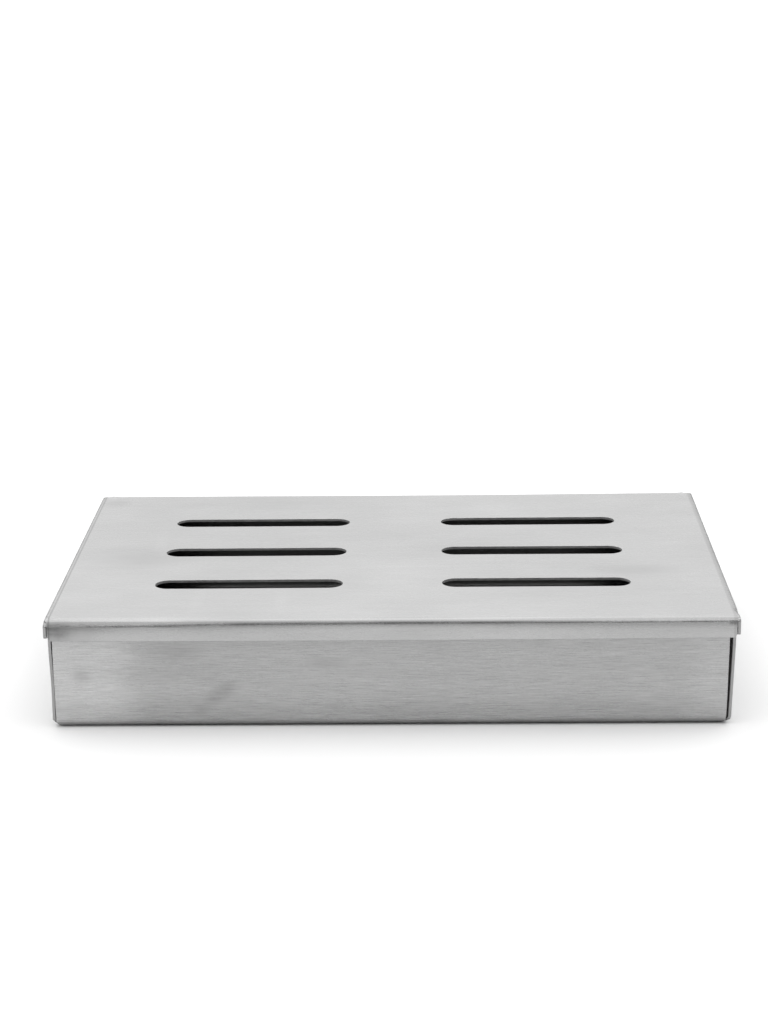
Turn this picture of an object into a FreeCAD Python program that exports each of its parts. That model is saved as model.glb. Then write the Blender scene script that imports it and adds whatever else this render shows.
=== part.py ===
import FreeCAD, Part
import math
import os

os.makedirs("parts", exist_ok=True)

V = FreeCAD.Vector

# Millimetres. X runs along the long side, Y from front to back, Z up.
# The origin is on the floor, under the middle of the box.

# ---- sheet and lid -------------------------------------------------------
T = 0.9                # sheet thickness of both blanks
LID_W = 210.0          # lid, outside, along X
LID_D = 137.0          # lid, outside, along Y
HEIGHT = 35.2          # floor to the lid's upper face
LID_BEND = 1.3         # outer radius of the lid's folds
FRONT_FLANGE = 6.7     # front and rear flange, measured from the upper face
SIDE_FLANGE = 5.9      # side flange, measured from the upper face
FLANGE_SLIT = 0.05     # open corner between the front flange and a side flange
CORNER_CUT = 0.8       # clipped lower corners of the front flange
REAR_FLANGE_HALF = 101.4   # the rear flange stops short of the ears
SIDE_FLANGE_REAR = 67.6    # the side flanges end here at the back

# ---- slots ---------------------------------------------------------------
SLOT_IN, SLOT_OUT = 15.58, 74.79   # inner and outer end of a slot, from the middle
SLOT_W = 8.8
SLOT_PITCH = 33.93     # row to row
SLOT_Y = 0.0           # middle row

# ---- tray ----------------------------------------------------------------
TRAY_HALF_W = 103.75   # outside of the side walls
TRAY_HALF_D = 66.95    # outside of the front and rear walls
TRAY_BEND = 3.0        # outer radius of the tray's folds
RIM_GAP = 0.1          # between the rim and the lid's underside
REAR_RIM_DROP = 2.1    # the rear wall is lower, so the opening lid clears it
FRONT_WALL_L, FRONT_WALL_R = -102.6, 101.85   # the slit is wider at the right
REAR_WALL_HALF = 102.4
FOLD_END = 101.3       # the front and rear folds end here, over the bottom
STRIP_END = 101.45     # the side walls' folds start here in front of the bottom
END_GAP = 0.15         # between a flap's end and the inside of the side fold

# ---- hinge ---------------------------------------------------------------
PIVOT_Y, PIVOT_Z = 62.2, 23.2
EAR_R = 4.6
EAR_START = 46.0       # where the ear leaves the side flange
SHANK_R = 1.5
EAR_HOLE_R = 1.55      # running clearance on the shank
WALL_HOLE_R = 1.52
HEAD_R, HEAD_H = 3.0, 1.2
HEAD_GAP = 0.05        # side play under the head
SHIM_R, SHIM_T = 3.0, 0.3
WASHER_R, WASHER_T = 3.3, 0.5
TAIL_R, TAIL_H = 2.3, 0.9
TAIL_HOLE_R, TAIL_HOLE_DEPTH = 0.85, 1.3

X_AXIS = V(1, 0, 0)
LID_UNDER = HEIGHT - T
RIM = LID_UNDER - RIM_GAP
REAR_RIM = RIM - REAR_RIM_DROP


def line(a, b):
    return Part.makeLine(a, b)


def arc(centre, r, a0, a1, plane):
    pts = []
    for a in (a0, (a0 + a1) / 2.0, a1):
        c, s = r * math.cos(math.radians(a)), r * math.sin(math.radians(a))
        if plane == "XZ":
            pts.append(V(centre.x + c, centre.y, centre.z + s))
        else:
            pts.append(V(centre.x, centre.y + c, centre.z + s))
    return Part.Arc(*pts).toShape()


def face_of(edges):
    return Part.Face(Part.Wire(Part.__sortEdges__(edges)))


def box(x0, x1, y0, y1, z0, z1):
    return Part.makeBox(x1 - x0, y1 - y0, z1 - z0, V(x0, y0, z0))


def channel(half_w, z_web, z_end, r, y0, y1):
    """A sheet folded down or up along both long edges, running along Y.

    z_web is the outer face of the web and z_end the free edge of both legs."""
    k = 1.0 if z_end > z_web else -1.0      # legs go up (+1) or down (-1)
    zi, zr = z_web + k * T, z_web + k * r
    xo, xi, xr = half_w, half_w - T, half_w - r
    y = y0
    up = k > 0
    e = [
        line(V(-xo, y, z_end), V(-xo, y, zr)),
        arc(V(-xr, y, zr), r, 180, 270 if up else 90, "XZ"),
        line(V(-xr, y, z_web), V(xr, y, z_web)),
        arc(V(xr, y, zr), r, -90 if up else 90, 0, "XZ"),
        line(V(xo, y, zr), V(xo, y, z_end)),
        line(V(xo, y, z_end), V(xi, y, z_end)),
        line(V(xi, y, z_end), V(xi, y, zr)),
        arc(V(xr, y, zr), r - T, -90 if up else 90, 0, "XZ"),
        line(V(xr, y, zi), V(-xr, y, zi)),
        arc(V(-xr, y, zr), r - T, 180, 270 if up else 90, "XZ"),
        line(V(-xi, y, zr), V(-xi, y, z_end)),
        line(V(-xi, y, z_end), V(-xo, y, z_end)),
    ]
    return face_of(e).extrude(V(0, y1 - y0, 0))


def fold(side, half_d, z_web, r, x0, x1):
    """The quarter-round fold at the front (side -1) or rear (+1), along X."""
    up = z_web < 1.0                        # the tray's folds turn up
    k = 1.0 if up else -1.0
    yc, zc = side * (half_d - r), z_web + k * r
    if side < 0:
        a0, a1 = 180, (270 if up else 90)
    else:
        a0, a1 = (-90 if up else 90), 0
    yo, yi = side * half_d, side * (half_d - T)
    e = [
        arc(V(x0, yc, zc), r, a0, a1, "YZ"),
        arc(V(x0, yc, zc), r - T, a0, a1, "YZ"),
        line(V(x0, yo, zc), V(x0, yi, zc)),
        line(V(x0, yc, z_web), V(x0, yc, z_web + k * T)),
    ]
    return face_of(e).extrude(V(x1 - x0, 0, 0))


def wall(side, half_d, x0, x1, z0, z1):
    a, b = sorted((side * half_d, side * (half_d - T)))
    return box(x0, x1, a, b, z0, z1)


def disc(x0, x1, r, hole=0.0):
    s = Part.makeCylinder(r, abs(x1 - x0), V(min(x0, x1), PIVOT_Y, PIVOT_Z), X_AXIS)
    if hole:
        s = s.cut(Part.makeCylinder(hole, abs(x1 - x0) + 2, V(min(x0, x1) - 1, PIVOT_Y, PIVOT_Z), X_AXIS))
    return s


def prism(points, x0, x1):
    pts = [V(x0, y, z) for y, z in points]
    return Part.Face(Part.makePolygon(pts + [pts[0]])).extrude(V(x1 - x0, 0, 0))


def save(shape, name):
    shape = shape.removeSplitter()
    if shape.ShapeType != "Solid" and len(shape.Solids) == 1:
        shape = shape.Solids[0]
    shape.exportStep("parts/%s.step" % name)
    print("%-22s valid %s solids %d volume %.1f mm3" % (name, shape.isValid(), len(shape.Solids), shape.Volume))
    return shape


# ---------------------------------------------------------------- the lid --
half_w, half_d = LID_W / 2.0, LID_D / 2.0
ear_low = PIVOT_Z - EAR_R
lid = channel(half_w, HEIGHT, ear_low - 1.0, LID_BEND, -half_d, half_d)

# outline of the side flanges with an ear at the back, seen along X
flange_z = HEIGHT - SIDE_FLANGE
dy, dz = EAR_START - PIVOT_Y, flange_z - PIVOT_Z
dist = math.hypot(dy, dz)
# tangent from the ear's start to the ear's round end, on its front and lower side
t_ang = math.degrees(math.atan2(dz, dy)) + math.degrees(math.acos(EAR_R / dist))
outline = [(-half_d - 1, HEIGHT + 2), (SIDE_FLANGE_REAR, HEIGHT + 2), (SIDE_FLANGE_REAR, PIVOT_Z + 4.2)]
a = 0.0
steps = 40
for i in range(steps + 1):
    ang = -(360.0 - t_ang) * i / steps
    outline.append((PIVOT_Y + EAR_R * math.cos(math.radians(ang)), PIVOT_Z + EAR_R * math.sin(math.radians(ang))))
outline += [(EAR_START, flange_z), (-half_d - 1, flange_z)]

# the ear's round end is a true arc, not the polygon's facets
side_edges = []
p_rear = V(-half_w - 5, outline[2][0], outline[2][1])
p_t0 = V(-half_w - 5, PIVOT_Y + EAR_R, PIVOT_Z)
p_t1 = V(-half_w - 5, outline[-3][0], outline[-3][1])
mid = math.radians((0.0 - (360.0 - t_ang)) / 2.0)
p_tm = V(-half_w - 5, PIVOT_Y + EAR_R * math.cos(mid), PIVOT_Z + EAR_R * math.sin(mid))
q = [V(-half_w - 5, y, z) for y, z in (outline[0], outline[1], outline[2])]
p_es = V(-half_w - 5, EAR_START, flange_z)
p_fl = V(-half_w - 5, -half_d - 1, flange_z)
side_edges = [line(q[0], q[1]), line(q[1], q[2]), line(q[2], p_t0), Part.Arc(p_t0, p_tm, p_t1).toShape(),
              line(p_t1, p_es), line(p_es, p_fl), line(p_fl, q[0])]
side_tool = face_of(side_edges).extrude(V(LID_W + 10, 0, 0))
lid = lid.common(side_tool)

# ease the inside corner where the ear leaves the flange
corner = [e for e in lid.Edges
          if abs(e.CenterOfMass.y - EAR_START) < 0.01 and abs(e.CenterOfMass.z - flange_z) < 0.01
          and abs(e.Length - T) < 0.01]
lid = lid.makeFillet(5.0, corner)

# clear the web between the side folds, then add the front and rear flanges
inner = half_w - LID_BEND
lid = lid.cut(box(-inner, inner, -half_d - 1, -half_d + LID_BEND, LID_UNDER - 1, HEIGHT + 1))
lid = lid.cut(box(-inner, inner, half_d - LID_BEND, half_d + 1, LID_UNDER - 1, HEIGHT + 1))
lid = lid.fuse(fold(-1, half_d, HEIGHT, LID_BEND, -inner, inner))
front = wall(-1, half_d, -half_w + T + FLANGE_SLIT, half_w - T - FLANGE_SLIT,
             HEIGHT - FRONT_FLANGE, HEIGHT - LID_BEND)
for s in (-1, 1):
    xe = s * (half_w - T - FLANGE_SLIT)
    z = HEIGHT - FRONT_FLANGE
    tri = Part.Face(Part.makePolygon([V(xe, -half_d - 1, z), V(xe - s * CORNER_CUT, -half_d - 1, z),
                                      V(xe, -half_d - 1, z + CORNER_CUT), V(xe, -half_d - 1, z)]))
    front = front.cut(tri.extrude(V(0, 3, 0)))
lid = lid.fuse(front)
lid = lid.fuse(fold(1, half_d, HEIGHT, LID_BEND, -REAR_FLANGE_HALF, REAR_FLANGE_HALF))
lid = lid.fuse(wall(1, half_d, -REAR_FLANGE_HALF, REAR_FLANGE_HALF, HEIGHT - FRONT_FLANGE, HEIGHT - LID_BEND))

# six round-ended slots
r = SLOT_W / 2.0
for row in (-1, 0, 1):
    yc = SLOT_Y + row * SLOT_PITCH
    for s in (-1, 1):
        xa, xb = sorted((s * (SLOT_IN + r), s * (SLOT_OUT - r)))
        slot = box(xa, xb, yc - r, yc + r, LID_UNDER - 1, HEIGHT + 1)
        for xc in (xa, xb):
            slot = slot.fuse(Part.makeCylinder(r, T + 2, V(xc, yc, LID_UNDER - 1)))
        lid = lid.cut(slot)

# pivot holes in both ears
lid = lid.cut(Part.makeCylinder(EAR_HOLE_R, LID_W + 10, V(-half_w - 5, PIVOT_Y, PIVOT_Z), X_AXIS))
save(lid, "lid")

# --------------------------------------------------------------- the tray --
tray = channel(TRAY_HALF_W, 0.0, RIM, TRAY_BEND, -TRAY_HALF_D, TRAY_HALF_D)
# rear upper corners of the side walls slope down, clear of the opening lid
tray = tray.cut(prism([(PIVOT_Y, RIM), (TRAY_HALF_D + 1, RIM - (TRAY_HALF_D + 1 - PIVOT_Y) * REAR_RIM_DROP / (TRAY_HALF_D - PIVOT_Y)),
                       (TRAY_HALF_D + 1, RIM + 2), (PIVOT_Y, RIM + 2)], -TRAY_HALF_W - 1, TRAY_HALF_W + 1))
edge_y = TRAY_HALF_D - TRAY_BEND
flat_half = TRAY_HALF_W - TRAY_BEND


def end_trim(s, x_end):
    """What is cut off a flap's end so that it follows the inside of the side fold."""
    r = TRAY_BEND - T - END_GAP

    def on_arc(x):
        return V(s * x, -TRAY_HALF_D - 2, TRAY_BEND - math.sqrt(r ** 2 - (x - flat_half) ** 2))

    b, m, c = on_arc(FOLD_END), on_arc((FOLD_END + x_end) / 2), on_arc(x_end)
    a, e = V(b.x, b.y, -1), V(s * (x_end + 3), b.y, -1)
    d = V(e.x, b.y, c.z)
    edges = [line(a, b), Part.Arc(b, m, c).toShape(), line(c, d), line(d, e), line(e, a)]
    return face_of(edges).extrude(V(0, 2 * TRAY_HALF_D + 4, 0))


for s in (-1, 1):
    y0, y1 = sorted((s * edge_y, s * (TRAY_HALF_D + 1)))
    tray = tray.cut(box(-STRIP_END, STRIP_END, y0, y1, -1, T + 1))
    if s < 0:
        xl, xr, top = FRONT_WALL_L, FRONT_WALL_R, RIM
    else:
        xl, xr, top = -REAR_WALL_HALF, REAR_WALL_HALF, REAR_RIM
    flap = fold(s, TRAY_HALF_D, 0.0, TRAY_BEND, xl, xr).fuse(wall(s, TRAY_HALF_D, xl, xr, TRAY_BEND, top))
    flap = flap.cut(end_trim(-1, -xl)).cut(end_trim(1, xr))
    tray = tray.fuse(flap)
tray = tray.cut(Part.makeCylinder(WALL_HOLE_R, LID_W + 10, V(-half_w - 5, PIVOT_Y, PIVOT_Z), X_AXIS))
save(tray, "tray")

# ------------------------------------------------- rivets and their washers
for side, name in ((-1, "left"), (1, "right")):
    x_wall_in = TRAY_HALF_W - T
    x_head = half_w + HEAD_GAP
    x_tail = x_wall_in - WASHER_T
    # half section of the rivet: distance along X from the middle, and radius
    crown = HEAD_R * 0.95
    rise = HEAD_H - 0.35
    sphere = (crown ** 2 + rise ** 2) / (2 * rise)
    prof = [
        line(V(x_head + HEAD_H, PIVOT_Y, PIVOT_Z), V(x_tail - TAIL_H + TAIL_HOLE_DEPTH, PIVOT_Y, PIVOT_Z)),
        line(V(x_tail - TAIL_H + TAIL_HOLE_DEPTH, PIVOT_Y, PIVOT_Z), V(x_tail - TAIL_H + TAIL_HOLE_DEPTH - 0.3, PIVOT_Y, PIVOT_Z + TAIL_HOLE_R)),
        line(V(x_tail - TAIL_H + TAIL_HOLE_DEPTH - 0.3, PIVOT_Y, PIVOT_Z + TAIL_HOLE_R), V(x_tail - TAIL_H, PIVOT_Y, PIVOT_Z + TAIL_HOLE_R)),
        # rolled tail, rounded on its inner end
        Part.Arc(V(x_tail - TAIL_H, PIVOT_Y, PIVOT_Z + TAIL_HOLE_R),
                 V(x_tail - TAIL_H * 0.86, PIVOT_Y, PIVOT_Z + TAIL_R * 0.82),
                 V(x_tail - 0.12, PIVOT_Y, PIVOT_Z + TAIL_R)).toShape(),
        line(V(x_tail - 0.12, PIVOT_Y, PIVOT_Z + TAIL_R), V(x_tail, PIVOT_Y, PIVOT_Z + TAIL_R)),
        line(V(x_tail, PIVOT_Y, PIVOT_Z + TAIL_R), V(x_tail, PIVOT_Y, PIVOT_Z + SHANK_R)),
        line(V(x_tail, PIVOT_Y, PIVOT_Z + SHANK_R), V(x_head, PIVOT_Y, PIVOT_Z + SHANK_R)),
        line(V(x_head, PIVOT_Y, PIVOT_Z + SHANK_R), V(x_head, PIVOT_Y, PIVOT_Z + HEAD_R)),
        line(V(x_head, PIVOT_Y, PIVOT_Z + HEAD_R), V(x_head + 0.35, PIVOT_Y, PIVOT_Z + HEAD_R)),
        line(V(x_head + 0.35, PIVOT_Y, PIVOT_Z + HEAD_R), V(x_head + 0.35, PIVOT_Y, PIVOT_Z + crown)),
        Part.Arc(V(x_head + 0.35, PIVOT_Y, PIVOT_Z + crown),
                 V(x_head + HEAD_H - sphere + math.sqrt(sphere ** 2 - (crown * 0.5) ** 2), PIVOT_Y, PIVOT_Z + crown * 0.5),
                 V(x_head + HEAD_H, PIVOT_Y, PIVOT_Z)).toShape(),
    ]
    rivet = Part.Face(Part.Wire(prof)).revolve(V(0, PIVOT_Y, PIVOT_Z), X_AXIS, 360)
    shim = disc(TRAY_HALF_W, TRAY_HALF_W + SHIM_T, SHIM_R, WALL_HOLE_R)
    washer = disc(x_wall_in - WASHER_T, x_wall_in, WASHER_R, WALL_HOLE_R)
    for shape, node in ((rivet, "pivot_rivet_"), (shim, "shim_washer_"), (washer, "backing_washer_")):
        if side < 0:
            shape = shape.mirror(V(0, 0, 0), X_AXIS)
        save(shape, node + name)
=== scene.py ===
import math

import bpy
import numpy as np
from mathutils import Matrix, Vector, geometry


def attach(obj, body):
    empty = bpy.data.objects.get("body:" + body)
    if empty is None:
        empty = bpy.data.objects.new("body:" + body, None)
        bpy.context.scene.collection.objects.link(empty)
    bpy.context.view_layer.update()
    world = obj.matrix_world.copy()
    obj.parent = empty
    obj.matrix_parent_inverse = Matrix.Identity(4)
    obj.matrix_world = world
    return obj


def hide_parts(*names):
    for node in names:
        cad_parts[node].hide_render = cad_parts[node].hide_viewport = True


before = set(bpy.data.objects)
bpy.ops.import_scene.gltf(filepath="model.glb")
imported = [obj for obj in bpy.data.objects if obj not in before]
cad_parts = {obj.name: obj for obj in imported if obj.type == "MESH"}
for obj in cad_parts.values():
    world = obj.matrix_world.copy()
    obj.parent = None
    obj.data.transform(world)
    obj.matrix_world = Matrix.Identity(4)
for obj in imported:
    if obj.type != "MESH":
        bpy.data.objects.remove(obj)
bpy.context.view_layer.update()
scene = bpy.context.scene

# ------------------------------------------------------------------ sizes --
# Millimetres, the same as the construction model. The origin is on the floor.
T = 0.9
W, D, H = 210.0, 137.0, 35.2
LID_R = 1.3
FLANGE_F, FLANGE_S = 6.7, 5.9
REAR_FLANGE = 101.4
SIDE_REAR = 67.6
PIVOT_Y, PIVOT_Z, EAR_R, EAR_START = 62.2, 23.2, 4.6, 46.0
SLOT_IN, SLOT_OUT, SLOT_W, SLOT_PITCH = 15.58, 74.79, 8.8, 33.93
TW, TD, TRAY_R = 103.75, 66.95, 3.0
RIM = H - T - 0.1
REAR_RIM = RIM - 2.1
REAR_WALL = 102.4
BEND_AT = (0, 0.2, 0.4, 0.65, 0.95, 1.3, 1.7, 2.2, 2.9, 4.0, 6.0)


# ------------------------------------------------------- the folded sheets --
class Fold:
    """Section of a fold: a soft shoulder, a tight bend, then a slow straightening.

    at(w) gives how far the middle of the sheet has gone outwards and down, w
    millimetres past the start of the shoulder, and the turn there."""

    def __init__(self, r_out, shoulder=(0.0, 0.0), tail=(0.0, 1.0)):
        rm = r_out - T / 2
        a1, l1 = math.radians(shoulder[0]), shoulder[1]
        a3, l3 = math.radians(tail[0]), tail[1]
        w = np.linspace(0.0, 60.0, 12001)
        full = math.pi / 2
        w2 = l1 + (full - a3 - a1) * rm
        a = np.where(w < l1, a1 * (w / max(l1, 1e-9)) ** 1.5, np.minimum(a1 + (w - l1) / rm, full - a3))
        if a3:
            a = np.where(w > w2, full - a3 * np.exp(-(w - w2) / l3), a)
        self.trace(w, a)

    def trace(self, w, a):
        dw = w[1] - w[0]
        c, s = np.cos(a), np.sin(a)
        self.w, self.a = w, a
        self.x = np.concatenate([[0], np.cumsum((c[1:] + c[:-1]) / 2 * dw)])
        self.z = np.concatenate([[0], np.cumsum((s[1:] + s[:-1]) / 2 * dw)])
        self.out = self.x[-1]

    def at(self, w):
        return np.interp(w, self.w, self.x), np.interp(w, self.w, self.z), np.interp(w, self.w, self.a)

    def length_for(self, drop):
        return np.interp(drop, self.z, self.w)


def smooth(a, b, x):
    t = np.clip((np.asarray(x, float) - a) / (b - a), 0, 1)
    return t * t * (3 - 2 * t)


class Bend(Fold):
    """The same as a chain of arcs: the turn in degrees after each length in BEND_AT."""

    def __init__(self, turns):
        w = np.linspace(0.0, 60.0, 12001)
        self.trace(w, np.radians(np.interp(w, BEND_AT, turns)))


class FoldSet:
    """A fold whose section changes along the sheet, blended from two sections."""

    def __init__(self, f0, f1, mix):
        self.f0, self.f1, self.mix = f0, f1, mix

    def start(self, half, s):
        k = self.mix(s)
        return half - T / 2 - (self.f0.out * (1 - k) + self.f1.out * k)

    def at(self, w, s):
        k = self.mix(s)
        a, b = self.f0.at(w), self.f1.at(w)
        return [p * (1 - k) + q * k for p, q in zip(a, b)]

    def length_for(self, drop, s):
        k = self.mix(s)
        return self.f0.length_for(drop) * (1 - k) + self.f1.length_for(drop) * k


class FoldRow:
    """A fold given by its section at several stations along the sheet."""

    def __init__(self, stations):
        self.at_s = [s for s, _ in stations]
        self.folds = [f for _, f in stations]

    def mixed(self, s, what):
        s = np.asarray(s, float)
        total = 0.0
        for i, fold in enumerate(self.folds):
            k = np.interp(s, self.at_s, np.eye(len(self.folds))[i])
            total = total + k * what(fold)
        return total

    def start(self, half, s):
        return half - T / 2 - self.mixed(s, lambda f: f.out)

    def at(self, w, s):
        return [self.mixed(s, lambda f: f.at(w)[i]) for i in range(3)]

    def length_for(self, drop, s):
        return self.mixed(s, lambda f: f.length_for(drop))


def resample(loop, spacing):
    """Points along a closed polyline, close together where spacing says so."""
    out = []
    n = len(loop)
    for i in range(n):
        a, b = np.array(loop[i], float), np.array(loop[(i + 1) % n], float)
        length = np.hypot(*(b - a))
        if length < 1e-9:
            continue
        t = 0.0
        ts = [0.0]
        while True:
            p = a + (b - a) * min(t / length, 1)
            q = a + (b - a) * min((t + 0.3) / length, 1)
            t += min(spacing(*p), spacing(*q) * 1.6)
            if t >= length - 0.3 * spacing(*(a + (b - a) * min(t / length, 1))):
                break
            ts.append(t)
        # spread the leftover evenly
        ts = np.array(ts)
        if len(ts) > 1:
            ts = ts * (length / t) if t < length * 1.5 else ts
            ts = ts[ts < length * 0.9999]
        for t_ in ts:
            out.append(tuple(a + (b - a) * (t_ / length)))
    return np.array(out)


def inset(loop, e):
    """Moves a closed loop inwards (material on its left) by e, with mitred corners."""
    p = np.asarray(loop)
    d1 = p - np.roll(p, 1, 0)
    d2 = np.roll(p, -1, 0) - p
    n1 = np.stack([-d1[:, 1], d1[:, 0]], 1) / np.hypot(*d1.T)[:, None]
    n2 = np.stack([-d2[:, 1], d2[:, 0]], 1) / np.hypot(*d2.T)[:, None]
    m = n1 + n2
    m /= np.maximum((m * m).sum(1), 0.6)[:, None] / 2
    return p + m * (e[:, None] if np.ndim(e) else e)


def inside(poly, pts):
    x, y = pts[:, 0], pts[:, 1]
    res = np.zeros(len(pts), bool)
    a, b = poly, np.roll(poly, -1, 0)
    for (x0, y0), (x1, y1) in zip(a, b):
        if y0 == y1:
            continue
        hit = ((y0 > y) != (y1 > y)) & (x < (x1 - x0) * (y - y0) / (y1 - y0) + x0)
        res ^= hit
    return res


def near(loops, pts, dist):
    """True where a point lies closer than dist to any loop's points or edges."""
    res = np.zeros(len(pts), bool)
    for loop in loops:
        a, b = loop, np.roll(loop, -1, 0)
        for p, q in zip(a, b):
            ab = q - p
            lo, hi = np.minimum(p, q) - dist.max(), np.maximum(p, q) + dist.max()
            m = (pts[:, 0] > lo[0]) & (pts[:, 0] < hi[0]) & (pts[:, 1] > lo[1]) & (pts[:, 1] < hi[1]) & ~res
            if not m.any():
                continue
            s = pts[m]
            t = np.clip(((s - p) @ ab) / max(ab @ ab, 1e-12), 0, 1)
            d = np.hypot(*(s - p - t[:, None] * ab).T)
            idx = np.nonzero(m)[0]
            res[idx[d < dist[m]]] = True
    return res


def hash_noise(x, seed):
    """Smooth one-dimensional noise from fixed pseudo-random values, for edges."""
    rng = np.random.RandomState(seed)
    table = rng.uniform(-1, 1, 512)
    i = np.floor(x).astype(int)
    f = x - i
    f = f * f * (3 - 2 * f)
    return table[i % 512] * (1 - f) + table[(i + 1) % 512] * f


def sheet(name, outline, holes, points, spacing, place, outer_up, edge, seed, inner=0, bore=1):
    """A folded sheet from its flat blank: both faces and a softened cut edge.

    inner and bore are the material slots of the inner face and of the holes' edges;
    outline is counter-clockwise and holes clockwise, so the metal is on the left."""
    loops = [resample(outline, spacing)] + [resample(h, spacing) for h in holes]
    rings = []
    for k, loop in enumerate(loops):
        run = np.cumsum(np.hypot(*(loop - np.roll(loop, 1, 0)).T))
        jag = 0.012 * hash_noise(run / 0.9, seed + k) + 0.008 * hash_noise(run / 0.37, seed + 40 + k)
        soft = edge * (1 + 0.35 * hash_noise(run / 2.3, seed + 80 + k))
        rim = inset(loop, jag)
        rings.append((rim, inset(loop, soft + jag * 0.5), soft))
    face_loops = [r[1] for r in rings]
    keep = inside(face_loops[0], points)
    for h in face_loops[1:]:
        keep &= ~inside(h, points)
    points = points[keep]
    sp = np.array([spacing(*p) for p in points])
    points = points[~near(face_loops, points, 0.45 * sp)]
    flat = np.vstack(face_loops + [points])
    edges, base = [], 0
    for loop in face_loops:
        n = len(loop)
        edges += [(base + i, base + (i + 1) % n) for i in range(n)]
        base += n
    cdt = geometry.delaunay_2d_cdt([Vector(p) for p in flat], edges, [], 0, 1e-6)
    co = np.array([tuple(v) for v in cdt[0]])
    tris = np.array([f for f in cdt[2] if len(f) == 3])
    if len(co) != len(flat):
        raise RuntimeError("the blank of %s crosses itself: %d points became %d" % (name, len(flat), len(co)))
    back = {}
    for new, olds in enumerate(cdt[3]):
        for o in olds:
            back[o] = new
    mid = co[tris].mean(1)
    ok = inside(face_loops[0], mid)
    for h in face_loops[1:]:
        ok &= ~inside(h, mid)
    tris = tris[ok]
    nf = len(co)
    verts, uvs, faces, mats = [], [], [], []
    P, N = place(co[:, 0], co[:, 1])
    verts += [P + N * (T / 2), P - N * (T / 2)]
    uvs += [co, co]
    up = tris if outer_up else tris[:, ::-1]
    faces += [tuple(f) for f in up.tolist()]
    faces += [tuple(f) for f in (up[:, ::-1] + nf).tolist()]
    mats += [0] * len(tris) + [inner] * len(tris)
    base, off = 2 * nf, 0
    for k, (rim, face, soft) in enumerate(rings):
        n = len(rim)
        P, N = place(rim[:, 0], rim[:, 1])
        verts += [P + N * (T / 2 - soft)[:, None], P - N * (T / 2 - soft)[:, None]]
        uvs += [rim, rim]
        for i in range(n):
            j = (i + 1) % n
            a, b = back[off + i], back[off + j]
            strips = [(a, b, base + j, base + i), (base + i, base + j, base + n + j, base + n + i),
                      (base + n + i, base + n + j, b + nf, a + nf)]
            for q in strips:
                faces.append(tuple(reversed(q)) if outer_up else q)
            mats += [bore if k else 1] * 3
        base += 2 * n
        off += n
    verts, uvs = np.vstack(verts), np.vstack(uvs)
    mesh = bpy.data.meshes.new(name)
    mesh.from_pydata((verts * 0.001).tolist(), [], faces)
    mesh.validate()
    uv = mesh.uv_layers.new(name="blank")
    loop_v = np.zeros(len(mesh.loops), np.int32)
    mesh.loops.foreach_get("vertex_index", loop_v)
    uv.data.foreach_set("uv", (uvs[loop_v] * 0.001 + 0.2).astype(np.float32).ravel())
    mesh.polygons.foreach_set("material_index", np.array(mats, np.int32))
    mesh.shade_smooth()
    mesh.set_sharp_from_angle(angle=math.radians(32))
    obj = bpy.data.objects.new(name, mesh)
    scene.collection.objects.link(obj)
    return obj


# ---- the lid --------------------------------------------------------------
def always(k):
    return lambda t: np.full_like(np.asarray(t, float), k)


# The front fold was not pressed the same all along: slack towards its left end,
# where a flat facet is left between two tighter turns. The right side fold has a
# broad soft shoulder that runs out at the front corner.
lid_front = FoldRow((
    (-99.5, Bend((0, 19, 34, 35, 36, 57, 58, 59, 72, 83, 90))),
    (-94.5, Bend((0, 19, 35, 35, 36, 58, 59, 59, 77, 83, 90))),
    (-86.0, Bend((0, 19, 35, 35, 36, 59, 59, 60, 82, 84, 90))),
    (-75.0, Bend((0, 20, 30, 32, 34, 57, 60, 62, 84, 86, 90))),
    (-61.0, Bend((0, 22, 34, 50, 54, 61, 62, 80, 84, 87, 90))),
    (-40.0, Bend((0, 12, 24, 44, 52, 60, 67, 80, 85, 88, 90))),
    (0.0, Bend((0, 8, 20, 38, 50, 58, 69, 80, 86, 89, 90))),
    (32.0, Bend((0, 6, 18, 44, 52, 54, 66, 79, 84, 87, 90))),
    (62.0, Bend((0, 5, 20, 44, 54, 54, 60, 81, 84, 87, 90))),
    (98.0, Bend((0, 6, 20, 44, 54, 55, 59, 81, 84, 87, 90))),
))
lid_rear = FoldSet(Fold(LID_R), Fold(LID_R), always(0.0))
lid_left = FoldSet(Fold(1.15, shoulder=(9, 0.5)), Fold(0.75), lambda y: 1 - smooth(-68.6, -64, y))
lid_right = FoldSet(Fold(1.1, shoulder=(17, 1.35)), Fold(0.62), lambda y: 1 - smooth(-68.6, -57, y))
FLAP = 103.98           # half width of the front flange
PATCH = -68.44          # the corner of the top runs to here on the blank


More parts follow.
